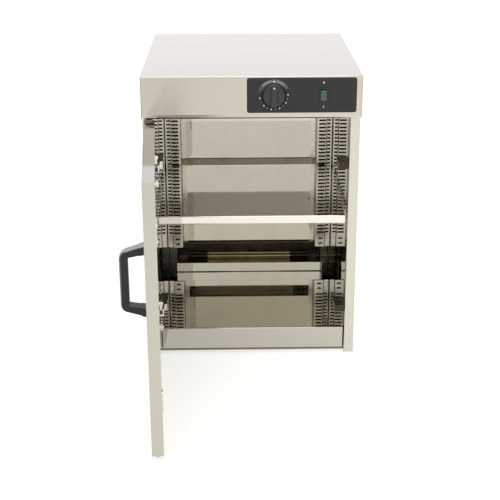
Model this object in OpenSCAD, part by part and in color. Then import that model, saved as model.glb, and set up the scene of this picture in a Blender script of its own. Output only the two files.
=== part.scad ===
// Plate warmer cabinet: a free-standing, single-door heated cabinet in stainless sheet.
// Working axes: X to the right, Y to the back, Z up, with Y = 0 on the front of the door jamb
// and Z = 0 on the table. in_frame() moves the origin to the middle of the flat top.

/* [Cabinet] */
// Width over the side panels
body_w = 400; // [385:1:430]
// Height of the top above the table
body_h = 560; // [552:1:620]
// Depth from the door jamb to the back cover
body_d = 428; // [420:1:470]
// Thickness of the cabinet's sheet
sheet = 1; // [0.8:0.1:1.2]
// Outside radius of a sheet bend
bend_r = 2; // [1.8:0.1:2.5]
// Space taken by each double side wall
wall = 18; // [17:0.5:24]
// Height of the rubber feet under the pan
foot_h = 3; // [2:0.5:12]
// Diameter of a rubber foot
foot_d = 25; // [16:1:32]
// Distance of the feet from the pan's edges
foot_inset = 40; // [30:1:60]

/* [Header] */
// Height of the control header
header_h = 79; // [77:1:100]
// Radius of the header's lower front edge
header_edge_r = 9; // [5:0.5:10]
// Slack between the header front and each side panel
header_slack = 0.4; // [0.2:0.1:1]
// Depth of the turned-up flange behind the header's lower edge
header_return = 18; // [12:1:20]

/* [Cavity] */
// Height of the cavity floor above the table
floor_z = 56; // [50:1:62]
// Space between the rear wall and the back of the cabinet
rear_space = 55; // [48:1:63]
// Height of the rear wall's lower edge
recess_top = 97; // [92:1:104]
// Clearance between the heater recess and the back cover
recess_back_gap = 6; // [5:0.5:12]
// Depth of the lip turned in behind the jamb
lip_d = 10; // [6:1:14]
// Width of the dark gap at each end of the sill
sill_gap = 2.5; // [1:0.5:5]
// Height of the sill's lower edge above the table
sill_low = 12; // [10:1:20]
// Setback of the sill behind the jamb
sill_setback = 2; // [1:0.5:4]
// Setback of the base pan behind the jamb
pan_setback = 14; // [12:1:20]

/* [Slotted columns] */
// Width of each column across the rear corner
column_w = 35; // [34:1:40]
// Distance that a column stands out of the rear wall
column_d = 28; // [24:1:32]
// Depth of the step beside the short slots
joggle = 3; // [2:0.5:4]
// Height of a slot
slot_h = 4; // [3:0.5:5]
// Length of a long slot
slot_long = 16; // [12:0.5:16]
// Length of a short slot
slot_short = 8; // [6:0.5:9]
// Distance from one row of slots to the next
slot_pitch = 8; // [7:0.5:10]
// Height of the lowest row above the table
slot_first = 131; // [129:1:140]
// Width of the flange welded to the rear wall
weld_flange = 10; // [8:1:12]

/* [Heater] */
// Diameter of the heating element's sheath
element_d = 7; // [6:0.5:8.5]
// Distance between the element's two legs
element_gap = 19; // [16:1:24]
// Room between the cavity wall and each end of the element
element_side_gap = 27; // [25:1:47]
// Height of the element above the cavity floor
element_h = 7.5; // [7:0.5:12]
// Room between the cavity wall and the heater tray
tray_side_gap = 20; // [14:1:24]
// Half width of the reflector plate
reflector_half = 94; // [70:1:120]
// Distance from the rear wall to the heater guard
guard_setback = 73; // [53:1:93]
// Depth of the guard's foot
guard_foot = 14; // [10:1:20]
// Height of the heater guard
guard_h = 21; // [15:1:30]
// Room between the cavity wall and the heater guard
guard_side_gap = 22; // [12:1:62]
// Height of the reflector's turned-up rear edge
reflector_lip = 5; // [3:0.5:12]

/* [Shelf] */
// Height of the shelf's top above the table
shelf_z = 288; // [256:8:328]
// Gap between the shelf and each jamb
shelf_side_gap = 3.5; // [2:0.5:7]
// Setback of the shelf's front lip
shelf_front = 3; // [2:0.5:12]
// Gap between the shelf's rear edge and the columns
shelf_back_gap = 2; // [1:1:15]
// Height of the shelf's front lip
shelf_lip = 16.5; // [12:0.5:24]
// Height of the bracket's web at its front end
bracket_front_h = 12; // [8:1:18]
// Height of the bracket's web at the column
bracket_back_h = 62; // [46:1:64]
// Width of the bracket's top flange
bracket_flange = 13; // [8:0.5:16]

/* [Door] */
// Distance from the door's free edge to the cabinet's side
door_free_gap = 8; // [6:0.5:14]
// Thickness of the door
door_t = 20; // [19.5:0.1:24]
// Gap between the closed door and the jamb
door_gap = 2.5; // [2:0.1:4]
// Gap above the closed door
door_top_gap = 4; // [2:0.5:6]
// Height of the door's lower edge above the table
door_low = 6; // [5:0.5:10]
// Distance from the cabinet's side to the door's hinge edge
door_side_gap = 6; // [5:0.5:8]
// Angle at which the door stands open
door_angle = 86.36; // [0:0.01:100]
// Distance of the hinge pin from the door's hinge edge
pin_u = 6.8; // [6.6:0.1:7.2]
// Distance of the hinge pin behind the door's inner face
pin_v = 10.9; // [10.5:0.1:11.3]
// Height of the lower hinge above the table
hinge_low = 97; // [90:1:130]
// Height of the upper hinge above the table
hinge_high = 386.6; // [375:1:400]
// Diameter of the small foot under the door's free end
door_foot_d = 10; // [8:1:14]

/* [Hinge] */
// Diameter of the hinge pin
pin_d = 3; // [2.6:0.1:3.2]
// Radial clearance of the hinge pin in the arm
pin_clearance = 0.05; // [0.02:0.01:0.09]
// Outer diameter of the arm's eye
eye_d = 6.4; // [5.6:0.1:6.4]
// Height of the hinge arm
arm_h = 14; // [12:0.5:15]
// Thickness of the arm's cranked neck
neck_t = 3; // [2:0.1:3]
// Distance from the pin to the neck's inner side
neck_reach = 13.7; // [13:0.1:14.5]
// Depth of the arm along the cabinet wall
arm_d = 68; // [60:1:72]
// Outer diameter of the hinge cup
cup_d = 35; // [34:0.5:36]
// Depth of the hinge cup
cup_depth = 17.5; // [17:0.1:18]
// Height of the cup's flange on the door
cup_flange_h = 62; // [56:1:66]
// Thickness of the cup's flange
cup_flange_t = 2.2; // [1.2:0.1:2.4]

/* [Handle] */
// Distance of the handle from the door's free edge
handle_inset = 41; // [31:1:66]
// Height of the handle over its feet
handle_h = 120.4; // [116:0.2:140]
// Height of the grip over its outer corners
grip_h = 95; // [88:0.5:104]
// Height of the finger gap at the door
handle_gap_h = 92; // [84:0.5:94]
// Height of the finger gap at the grip
grip_gap_h = 82.6; // [66:0.2:83]
// Distance from the door's outer face to the grip's outer side
handle_out = 40.6; // [38:0.2:50]
// Thickness of the grip
grip_t = 14.2; // [11:0.2:15]
// Radius of the handle's outer corners
handle_corner = 14; // [8:0.5:16]
// Width of the grip along the door
grip_w = 20; // [16:1:24]

/* [Controls] */
// Width of the control fascia
fascia_w = 198; // [180:1:200]
// Height of the control fascia
fascia_h = 63.6; // [60:0.1:66]
// Thickness of the control fascia
fascia_t = 1.5; // [1:0.1:2]
// Distance from the cabinet's right side to the fascia
fascia_side = 10.7; // [8:0.1:16]
// Diameter of the knob
knob_d = 43; // [36:0.5:46]
// Distance of the knob's axis from the fascia's left end
knob_x = 48.6; // [40:0.1:60]
// Height of the knob over the fascia
knob_h = 17; // [14:0.5:20]
// Diameter of the thermostat's spindle
spindle_d = 6; // [5:0.1:6.4]
// Distance of the rocker switch from the fascia's left end
switch_x = 138.3; // [110:0.1:160]
// Tilt of the rocker to each side
rocker_tilt = 8; // [5:0.5:9]

/* [Hidden] */
$fn = 48;

big = 1000;
mid_r = bend_r - sheet / 2;
half_w = body_w / 2;
liner_x = half_w - wall;
jamb_in = liner_x - sheet;
header_out = door_t + door_gap;
header_low = body_h - header_h;
ceiling_z = header_low - sheet;
back_in = body_d - sheet;
recess_back = back_in - recess_back_gap;
pan_half = half_w - sheet;
frame_y = (body_d - header_out) / 2;
pan_flange = 20;
rear_y = body_d - rear_space;

// Columns
column_front = rear_y - column_d;
column_in = liner_x - column_w;
joggle_x = liner_x - 13;
slot_mid_long = joggle_x - 1.4 - slot_long / 2;
slot_mid_short = joggle_x + 1 + slot_short / 2;
slot_rows = floor((ceiling_z - 3 - slot_h / 2 - slot_first) / slot_pitch) + 1;
column_end_gap = 14;

// Door
door_x0 = -half_w + door_side_gap;
door_x1 = half_w - door_free_gap;
door_in = -door_gap;
door_out = door_in - door_t;
door_z1 = header_low - door_top_gap;
skin = sheet;
pin_x = door_x0 + pin_u;
pin_y = door_in - pin_v;
hinge_heights = [hinge_low, hinge_high];
cup_x = door_x0 + 4 + cup_d / 2;
cup_wall = 0.8;
nose_wall = 0.8;
nose_x = pin_x - eye_d / 2 - 0.6 - nose_wall;
nose_half = arm_h / 2 + 2 + nose_wall;
neck_x = pin_x + neck_reach;
plate_t = 1.5;
plate_y0 = lip_d + 4;
plate_y1 = plate_y0 + 50;
catch_y = lip_d + 0.4;
catch_half = 6.5;
catch_w = 20;
catch_l = 30;
strike_t = 1;
handle_x = door_x1 - handle_inset;
handle_z = (door_low + door_z1) / 2 + 62.4;

// Controls
fascia_x1 = half_w - fascia_side;
fascia_x0 = fascia_x1 - fascia_w;
fascia_z = header_low + 44.1;
fascia_y = -header_out;
knob_cx = fascia_x0 + knob_x;
knob_cz = fascia_z - 0.5;
switch_cx = fascia_x0 + switch_x;
switch_cz = fascia_z + 0.9;
panel_in = -header_out + sheet;
switch_w = 15;
switch_h = 26;
switch_body_w = 12.8;
switch_body_h = 23.6;
rocker_h = 9.6;
rocker_half = 4.9;
rocker_room = rocker_h + 1;
rocker_y = fascia_y - fascia_t + 2;
knob_base = fascia_y - fascia_t - 0.6;
spindle_tip = fascia_y - fascia_t - knob_h + 3;

// Heater
element_y = recess_back - 33;
element_z = floor_z + element_h;
element_r = element_d / 2;
saddle_w = 18;
tray_half = liner_x - tray_side_gap;
guard_y = rear_y - guard_setback;
guard_half = liner_x - guard_side_gap;

module in_frame() translate([0, -frame_y, -body_h]) children();

module block(x, y, z) translate([x[0], y[0], z[0]]) cube([x[1] - x[0], y[1] - y[0], z[1] - z[0]]);

// A drawing in (Y, Z) drawn out along X, in (X, Z) along Y, and in (X, Y) along Z.
module along_x(x) translate([x[0], 0, 0]) rotate([90, 0, 90]) linear_extrude(x[1] - x[0]) children();
module along_y(y) translate([0, y[1], 0]) rotate([90, 0, 0]) linear_extrude(y[1] - y[0]) children();
module along_z(z) translate([0, 0, z[0]]) linear_extrude(z[1] - z[0]) children();

module rod_x(x, y, z, r) translate([x[0], y, z]) rotate([0, 90, 0]) cylinder(h = x[1] - x[0], r = r);
module rod_y(x, y, z, r) translate([x, y[1], z]) rotate([90, 0, 0]) cylinder(h = y[1] - y[0], r = r);
module rod_z(x, y, z, r) translate([x, y, z[0]]) cylinder(h = z[1] - z[0], r = r);

module both_sides() for (side = [0, 1]) mirror([side, 0, 0]) children();

// Sheet folded along a path of [x, y, bend radius] points on its middle line.
function heading(p, q) = atan2(q[1] - p[1], q[0] - p[0]);
function wrap(a) = a > 180 ? a - 360 : a < -180 ? a + 360 : a;
function turn(path, i) = wrap(heading(path[i], path[i + 1]) - heading(path[i - 1], path[i]));
function setback(path, i) =
    i == 0 || i == len(path) - 1 ? 0 : path[i][2] * tan(abs(turn(path, i)) / 2);

module fold(path, i, t) {
    bend = turn(path, i);
    start = heading(path[i - 1], path[i]);
    side = sign(bend);
    r = path[i][2];
    back = setback(path, i);
    centre = [path[i][0], path[i][1]] - back * [cos(start), sin(start)]
        + r * side * [-sin(start), cos(start)];
    from = start - 90 * side;
    reach = r + t;
    corner = reach / cos(bend / 2);
    translate(centre) intersection() {
        difference() {
            circle(r + t / 2);
            circle(r - t / 2);
        }
        polygon([
            [0, 0],
            reach * [cos(from), sin(from)],
            corner * [cos(from + bend / 2), sin(from + bend / 2)],
            reach * [cos(from + bend), sin(from + bend)]
        ]);
    }
}

module folded_sheet(path, t = sheet) {
    for (i = [0 : len(path) - 2]) {
        run = norm([path[i + 1][0] - path[i][0], path[i + 1][1] - path[i][1]]);
        translate([path[i][0], path[i][1]])
            rotate(heading(path[i], path[i + 1]))
            translate([setback(path, i), -t / 2])
            square([run - setback(path, i) - setback(path, i + 1), t]);
    }
    for (i = [1 : len(path) - 2]) fold(path, i, t);
}

module rounded(size, r) {
    square([size[0] - 2 * r, size[1]], center = true);
    square([size[0], size[1] - 2 * r], center = true);
    for (sx = [-1, 1], sy = [-1, 1])
        translate([sx * (size[0] / 2 - r), sy * (size[1] / 2 - r)]) circle(r);
}

module slot(length, height) rounded([length, height], height / 2 - 0.01);

// A pan-head screw along +Y from its head's underside at the origin.
module screw(r, length, head_r, head_h) {
    rod_y(0, [0, length], 0, r);
    difference() {
        rod_y(0, [-head_h, 0], 0, head_r);
        for (a = [0, 90]) rotate([0, a, 0])
            block([-head_r * 0.6, head_r * 0.6], [-head_h, -head_h * 0.5], [-0.4, 0.4]);
    }
}

// Shell ---------------------------------------------------------------

hood_flange = 20;
hood_bend = bend_r - sheet / 2;
module hood() color([0.86, 0.85, 0.82]) in_frame() difference() {
    union() {
        along_x([-half_w, half_w]) folded_sheet([
            [-header_out + bend_r, body_h - sheet / 2, 0],
            [body_d - sheet / 2, body_h - sheet / 2, mid_r],
            [body_d - sheet / 2, body_h - hood_flange, 0]
        ]);
        along_x([-pan_half + header_slack, pan_half - header_slack]) folded_sheet([
            [-header_out + bend_r + sheet, body_h - sheet / 2, 0],
            [-header_out + sheet / 2, body_h - sheet / 2, hood_bend],
            [-header_out + sheet / 2, header_low + sheet / 2, header_edge_r - sheet / 2],
            [-sheet / 2, header_low + sheet / 2, mid_r],
            [-sheet / 2, header_low + header_return, 0]
        ]);
    }
    rod_y(knob_cx, [-header_out - 1, panel_in + 1], knob_cz, spindle_d / 2 + 2);
    for (side = [-1, 1])
        rod_y(knob_cx + side * thermostat_screw_x, [-header_out - 1, panel_in + 1], knob_cz, 1.7);
    block([switch_cx - switch_body_w / 2, switch_cx + switch_body_w / 2],
        [-header_out - 1, panel_in + 1],
        [switch_cz - switch_body_h / 2, switch_cz + switch_body_h / 2]);
    for (x = hood_screw_x) rod_y(x, [body_d - 2, body_d + 1], body_h - hood_flange / 2, screw_r);
}

return_w = 16;
module side_panel() difference() {
    union() {
        along_z([foot_h, ceiling_z]) folded_sheet([
            [jamb_in + sheet / 2, lip_d, 0],
            [jamb_in + sheet / 2, sheet / 2, mid_r],
            [half_w - sheet / 2, sheet / 2, mid_r],
            [half_w - sheet / 2, back_in - sheet / 2, mid_r],
            [half_w - return_w, back_in - sheet / 2, 0]
        ]);
        along_z([ceiling_z, body_h - bend_r]) folded_sheet([
            [half_w - sheet / 2, 0, 0],
            [half_w - sheet / 2, back_in - sheet / 2, mid_r],
            [half_w - return_w, back_in - sheet / 2, 0]
        ]);
        block([half_w - sheet, half_w], [0, back_in - bend_r], [ceiling_z, body_h - sheet]);
        block([jamb_in, half_w], [0, sheet], [ceiling_z, header_low]);
        along_x([half_w - sheet, half_w]) header_cheek();
    }
    for (z = cover_screw_z) rod_y(cover_screw_x, [back_in - 3, back_in + 1], z, screw_r);
    rod_y(cover_screw_x, [back_in - 3, back_in + 1], body_h - hood_flange / 2, screw_r);
}

// The part of a side panel that closes the end of the header.
module header_cheek() {
    top = body_h - sheet;
    front = -header_out + 0.3;
    translate([front + header_edge_r, header_low])
        square([-front - header_edge_r, top - header_low]);
    translate([front, header_low + header_edge_r])
        square([-front, top - header_low - header_edge_r]);
    translate([front + header_edge_r, header_low + header_edge_r]) circle(header_edge_r);
}

module side_panel_left() color([0.84, 0.83, 0.78]) in_frame() mirror([1, 0, 0]) side_panel();
module side_panel_right() color([0.84, 0.83, 0.78]) in_frame() side_panel();

screw_r = 2;
cover_screw_x = half_w - return_w / 2;
cover_low = foot_h + 1.5;
cover_top = body_h - hood_flange - 1.5;
cover_edge = pan_flange + 6;
cover_screw_z = [for (i = [0 : 3]) cover_low + cover_edge + i * (cover_top - cover_low - 2 * cover_edge) / 3];
hood_screw_x = [-cover_screw_x, cover_screw_x];
vent_rows = 8;
vent_pitch = 9;
vent_length = 44;
gland_x = half_w - 60;
gland_z = 140;
gland_r = 8;
module back_cover() color([0.78, 0.78, 0.76]) in_frame() difference() {
    along_y([back_in, body_d]) difference() {
        translate([-half_w + 0.5, cover_low]) square([body_w - 1, cover_top - cover_low]);
        for (x = [-112, -56, 0, 56, 112], i = [0 : vent_rows - 1])
            translate([x, cover_top - 30 - i * vent_pitch]) slot(vent_length, slot_h);
    }
    both_sides() for (z = cover_screw_z) rod_y(cover_screw_x, [back_in - 1, body_d + 1], z, screw_r);
    rod_y(gland_x, [back_in - 1, body_d + 1], gland_z, gland_r + 0.1);
}

back_head_h = 1.8;
module back_screws() color([0.6, 0.6, 0.6]) in_frame() {
    both_sides() for (z = concat(cover_screw_z, [body_h - hood_flange / 2]))
        translate([cover_screw_x, body_d, z]) rotate([0, 0, 180]) screw(screw_r, 8, 3.8, back_head_h);
}

foot_stem_r = 4;
foot_x = half_w - foot_inset;
foot_y = [pan_setback + foot_inset - 10, body_d - foot_inset];
module base_pan() color([0.72, 0.72, 0.7]) in_frame() difference() {
    union() {
        along_y([pan_setback, back_in - sheet - 0.5]) folded_sheet([
            [-pan_half + sheet / 2, foot_h + pan_flange, 0],
            [-pan_half + sheet / 2, foot_h + sheet / 2, mid_r],
            [pan_half - sheet / 2, foot_h + sheet / 2, mid_r],
            [pan_half - sheet / 2, foot_h + pan_flange, 0]
        ]);
        block([-pan_half + 3, pan_half - 3], [pan_setback, pan_setback + sheet],
            [foot_h + sheet / 2, sill_low]);
        block([-pan_half + 3, pan_half - 3], [back_in - 1.5 - sheet, back_in - 1.5],
            [foot_h + sheet / 2, foot_h + pan_flange]);
    }
    both_sides() for (y = foot_y) rod_z(foot_x, y, [foot_h - 1, foot_h + 3], foot_stem_r + 0.1);
    for (x = [-90, -45, 45, 90], y = [rear_y - 123, rear_y - 83, rear_y - 43])
        translate([x, y, foot_h - 1]) linear_extrude(3) slot(32, slot_h);
}

module foot() {
    rotate_extrude() polygon([
        [0, 0], [foot_d / 2 - 1, 0], [foot_d / 2, foot_h * 0.6], [foot_d / 2 - 2, foot_h],
        [foot_stem_r, foot_h], [foot_stem_r, foot_h + sheet], [foot_stem_r + 1.6, foot_h + sheet + 0.4],
        [foot_stem_r - 1, foot_h + sheet + 4], [0, foot_h + sheet + 4]
    ]);
}

module feet() color([0.12, 0.12, 0.12]) in_frame()
    both_sides() for (y = foot_y) translate([foot_x, y, 0]) foot();

module cable_gland() color([0.1, 0.1, 0.1]) in_frame()
    translate([gland_x, body_d, gland_z]) rotate([-90, 0, 0]) difference() {
        union() {
            cylinder(h = 5, r = 12, $fn = 6);
            translate([0, 0, 5]) cylinder(h = 9, r1 = 10, r2 = 7.5);
            translate([0, 0, -12]) cylinder(h = 12, r = gland_r);
        }
        translate([0, 0, -13]) cylinder(h = 28, r = 4);
    }

module gland_nut() color([0.1, 0.1, 0.1]) in_frame()
    translate([gland_x, back_in, gland_z]) rotate([90, 0, 0]) difference() {
        cylinder(h = 5, r = 12, $fn = 6);
        translate([0, 0, -1]) cylinder(h = 7, r = gland_r + 0.1);
    }

// Liner ---------------------------------------------------------------

liner_back = recess_back + sheet;
module liner() along_y([bend_r, liner_back]) folded_sheet([
    [pan_half, ceiling_z + sheet / 2, 0],
    [liner_x + sheet / 2, ceiling_z + sheet / 2, mid_r],
    [liner_x + sheet / 2, floor_z - sheet / 2, mid_r],
    [pan_half, floor_z - sheet / 2, 0]
]);
module liner_left() color([0.66, 0.65, 0.6]) in_frame() difference() {
    mirror([1, 0, 0]) liner();
    plate_screw_holes([-liner_x - 2, -liner_x + 1]);
}
module liner_right() color([0.66, 0.65, 0.6]) in_frame() difference() {
    liner();
    catch_screw_holes([liner_x - 1, liner_x + 2]);
}

ceiling_screw_x = liner_x - 22;
ceiling_screw_y = 46;
edge_slack = 0.4;
module liner_top() color([0.66, 0.65, 0.6]) in_frame() difference() {
    union() {
        along_x([-jamb_in + edge_slack, jamb_in - edge_slack]) folded_sheet([
            [sheet / 2, header_low + header_return, 0],
            [sheet / 2, ceiling_z + sheet / 2, mid_r],
            [lip_d + 3, ceiling_z + sheet / 2, 0]
        ]);
        block([-liner_x, liner_x], [lip_d + 2, rear_y + sheet], [ceiling_z, header_low]);
    }
    both_sides() rod_z(ceiling_screw_x, ceiling_screw_y, [ceiling_z - 1, header_low + 1], screw_r);
}

module ceiling_screws() color([0.8, 0.8, 0.78]) in_frame()
    both_sides() translate([ceiling_screw_x, ceiling_screw_y, ceiling_z])
        rotate([90, 0, 0]) screw(screw_r, 9, 4, 2);

sill_half = jamb_in - sill_gap;
module floor_pan() color([0.66, 0.65, 0.6]) in_frame() {
    along_x([-sill_half, sill_half]) folded_sheet([
        [pan_setback + sheet, sill_low + sheet / 2, 0],
        [sill_setback + sheet / 2, sill_low + sheet / 2, mid_r],
        [sill_setback + sheet / 2, floor_z - sheet / 2, mid_r],
        [lip_d + 3, floor_z - sheet / 2, 0]
    ]);
    block([-liner_x, liner_x], [lip_d + 2, liner_back], [floor_z - sheet, floor_z]);
}

// The rear wall turns back over the heater recess and down behind it to the floor.
module rear_wall() color([0.66, 0.65, 0.6]) in_frame() along_x([-liner_x, liner_x]) folded_sheet([
    [rear_y + sheet / 2, ceiling_z, 0],
    [rear_y + sheet / 2, recess_top + sheet / 2, mid_r],
    [recess_back + sheet / 2, recess_top + sheet / 2, mid_r],
    [recess_back + sheet / 2, floor_z, 0]
]);

// Slotted columns -----------------------------------------------------

module column() difference() {
    along_z([recess_top, ceiling_z]) folded_sheet([
        [column_in - weld_flange, rear_y - sheet / 2, 0],
        [column_in + sheet / 2, rear_y - sheet / 2, mid_r],
        [column_in + sheet / 2, column_front + sheet / 2, mid_r],
        [joggle_x - 0.4, column_front + sheet / 2, 0.8],
        [joggle_x + 0.4, column_front + joggle + sheet / 2, 0.8],
        [liner_x - sheet / 2, column_front + joggle + sheet / 2, mid_r],
        [liner_x - sheet / 2, rear_y - 1, 0]
    ]);
    along_y([column_front - 1, column_front + joggle + sheet + 1]) {
        for (i = [0 : slot_rows - 1]) {
            z = slot_first + i * slot_pitch;
            translate([slot_mid_long, z]) slot(slot_long, slot_h);
            translate([slot_mid_short, z]) slot(slot_short, slot_h);
        }
        for (z = [recess_top + 8, recess_top + 19.5])
            translate([slot_mid_long, z]) slot(10, slot_h);
    }
}
module column_left() color([0.7, 0.69, 0.64]) in_frame() mirror([1, 0, 0]) column();
module column_right() color([0.7, 0.69, 0.64]) in_frame() column();

// Heater --------------------------------------------------------------

module heater_guard() color([0.8, 0.79, 0.74]) in_frame() along_x([-guard_half, guard_half])
    folded_sheet([
        [guard_y + guard_foot, floor_z + sheet / 2, 0],
        [guard_y, floor_z + sheet / 2, mid_r],
        [guard_y, floor_z + guard_h, 0]
    ]);

tray_front = rear_y - 21;
tray_back = recess_back - 1;
tray_top = recess_top - 1;
module heater_tray() color([0.35, 0.34, 0.33]) in_frame() difference() {
    union() {
        along_y([tray_front, tray_back]) folded_sheet([
            [-tray_half, tray_top, 0],
            [-tray_half, floor_z + sheet / 2, mid_r],
            [tray_half, floor_z + sheet / 2, mid_r],
            [tray_half, tray_top, 0]
        ]);
        block([-tray_half + 2, tray_half - 2], [tray_back - sheet, tray_back],
            [floor_z + sheet / 2, tray_top]);
    }
    for (side = [-1, 1])
        rod_x([tray_half - 2, tray_half + 2], element_y + side * element_gap / 2, element_z, 3);
}

reflector_t = 0.8;
reflector_y = tray_back - 2;
module reflector_plate() color([0.72, 0.6, 0.36]) in_frame()
    along_x([-reflector_half, reflector_half]) folded_sheet([
        [tray_front + 2, floor_z + sheet + reflector_t / 2, 0],
        [reflector_y, floor_z + sheet + reflector_t / 2, 1.2],
        [reflector_y, floor_z + sheet + reflector_lip, 0]
    ], reflector_t);

// The hairpin: two legs joined by a half turn. grow widens it for the saddles' channels.
element_end = liner_x - element_side_gap;
bend_x = -element_end + element_gap / 2 + element_r;
module hairpin(grow = 0) {
    for (side = [-1, 1])
        rod_x([bend_x, element_end], element_y + side * element_gap / 2, element_z, element_r + grow);
    translate([bend_x, element_y, element_z]) rotate([0, 0, 90])
        rotate_extrude(angle = 180) translate([element_gap / 2, 0]) circle(element_r + grow);
}
module heating_element() color([0.3, 0.29, 0.28]) in_frame() hairpin();

module element_saddles() color([0.85, 0.84, 0.8]) in_frame() difference() {
    for (x = [-element_end - 2, element_end - saddle_w - 2])
        block([x, x + saddle_w],
            [element_y - element_gap / 2 - element_r - 3, element_y + element_gap / 2 + element_r + 3],
            [floor_z + sheet, element_z + element_r + 2]);
    hairpin(0.05);
}

module element_terminals() color([0.75, 0.62, 0.35]) in_frame() for (side = [-1, 1]) {
    y = element_y + side * element_gap / 2;
    rod_x([element_end, liner_x - 3], y, element_z, 1.6);
    rod_x([liner_x - 3, liner_x - 1.5], y, element_z, 3.2);
}

// Shelf ---------------------------------------------------------------

shelf_half = jamb_in - shelf_side_gap;
shelf_back = column_front - shelf_back_gap;
shelf_side_lip = 9;
shelf_rear_half = slot_mid_short - 3;
module shelf() color([0.88, 0.86, 0.8]) in_frame() {
    along_x([-shelf_half, shelf_half]) folded_sheet([
        [shelf_front + 6, shelf_z - shelf_lip + sheet / 2, 0],
        [shelf_front + sheet / 2, shelf_z - shelf_lip + sheet / 2, mid_r],
        [shelf_front + sheet / 2, shelf_z - sheet / 2, mid_r],
        [shelf_back - bend_r, shelf_z - sheet / 2, 0]
    ]);
    along_x([-shelf_rear_half, shelf_rear_half]) folded_sheet([
        [shelf_back - bend_r - 1, shelf_z - sheet / 2, 0],
        [shelf_back - sheet / 2, shelf_z - sheet / 2, mid_r],
        [shelf_back - sheet / 2, shelf_z - shelf_lip, 0]
    ]);
    both_sides() block([shelf_half - sheet, shelf_half], [shelf_front + 3, shelf_back - 3],
        [shelf_z - shelf_side_lip, shelf_z - sheet / 2]);
}

// A cantilever bracket: a tapering web with a top flange, hooked into the short slots.
web_x = slot_mid_short - 0.6;
web_t = 1.2;
bracket_top = shelf_z - sheet;
bracket_y0 = shelf_front + 8;
hook_y = column_front + joggle;
first_hook_z = slot_first + slot_pitch * floor((bracket_top - 7 - slot_first) / slot_pitch);
hook_count = 5;
bracket_heel = 40;
hook_neck = 2.6;
hook_drop = 1.2;
module bracket() {
    along_x([web_x, web_x + web_t]) {
        polygon([
            [bracket_y0, bracket_top],
            [bracket_y0, bracket_top - bracket_front_h],
            [hook_y - bracket_heel, bracket_top - bracket_back_h],
            [hook_y - 0.1, bracket_top - bracket_back_h],
            [hook_y - 0.1, bracket_top]
        ]);
        for (i = [0 : hook_count - 1]) {
            z = first_hook_z - i * slot_pitch;
            bottom = z - slot_h / 2 + 0.1;
            translate([hook_y - 1, bottom]) square([1 + sheet + 0.2 + 2, hook_neck]);
            translate([hook_y + sheet + 0.2, bottom - hook_drop]) square([2, hook_drop + 0.5]);
        }
    }
    block([web_x - bracket_flange, web_x + web_t], [bracket_y0, shelf_back - 3],
        [bracket_top - web_t, bracket_top]);
}
module shelf_bracket_left() color([0.75, 0.74, 0.7]) in_frame() mirror([1, 0, 0]) bracket();
module shelf_bracket_right() color([0.75, 0.74, 0.7]) in_frame() bracket();

// Door ----------------------------------------------------------------

// Carries what is drawn on the closed door to the angle at which it stands open.
module on_door() in_frame()
    translate([pin_x, pin_y, 0]) rotate([0, 0, -door_angle]) translate([-pin_x, -pin_y, 0]) children();

module cup_pocket(grow, depth) for (z = hinge_heights) {
    rod_y(cup_x, [door_in - depth, door_in + 1], z, cup_d / 2 + grow);
    block([nose_x - grow, cup_x], [door_in - depth, door_in + 1], [z - nose_half - grow, z + nose_half + grow]);
}

module door_screw_holes(r) {
    for (side = [-1, 1])
        rod_y(handle_x, [door_out - 1, door_in + 1], handle_z + side * handle_screw_z, r);
}

module door_outer_skin() color([0.84, 0.83, 0.78]) on_door() difference() {
    block([door_x0, door_x1], [door_out, door_in], [door_low, door_z1]);
    block([door_x0 + skin, door_x1 - skin], [door_out + skin, door_in + 1], [door_low + skin, door_z1 - skin]);
    door_screw_holes(2.6);
}

module door_inner_skin() color([0.7, 0.69, 0.64]) on_door() difference() {
    block([door_x0 + skin, door_x1 - skin], [door_in - 12, door_in], [door_low + skin, door_z1 - skin]);
    block([door_x0 + 2 * skin, door_x1 - 2 * skin], [door_in - 13, door_in - skin],
        [door_low + 2 * skin, door_z1 - 2 * skin]);
    cup_pocket(0.1, cup_depth + 0.1);
    door_screw_holes(5.2);
    cup_screw_holes();
    strike_screw_holes();
}

module door_core() color([0.9, 0.85, 0.6]) on_door() difference() {
    block([door_x0 + 2 * skin, door_x1 - 2 * skin], [door_out + skin, door_in - skin],
        [door_low + 2 * skin, door_z1 - 2 * skin]);
    cup_pocket(0.1, cup_depth + 0.1);
    door_screw_holes(5.2);
    cup_screw_holes();
    strike_screw_holes();
}

handle_screw_r = 2.5;
handle_screw_l = 14;
leg_slope = (handle_h - grip_h) / 2 / handle_out;
gap_slope = (handle_gap_h - grip_gap_h) / 2 / (handle_out - grip_t);
handle_screw_z = (handle_h + handle_gap_h) / 4 - (leg_slope + gap_slope) * handle_screw_l / 4;
module handle_screws() color([0.55, 0.55, 0.55]) on_door()
    for (side = [-1, 1]) translate([handle_x, door_out + skin, handle_z + side * handle_screw_z])
        rotate([0, 0, 180]) screw(handle_screw_r, handle_screw_l, 5, 3);

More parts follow.
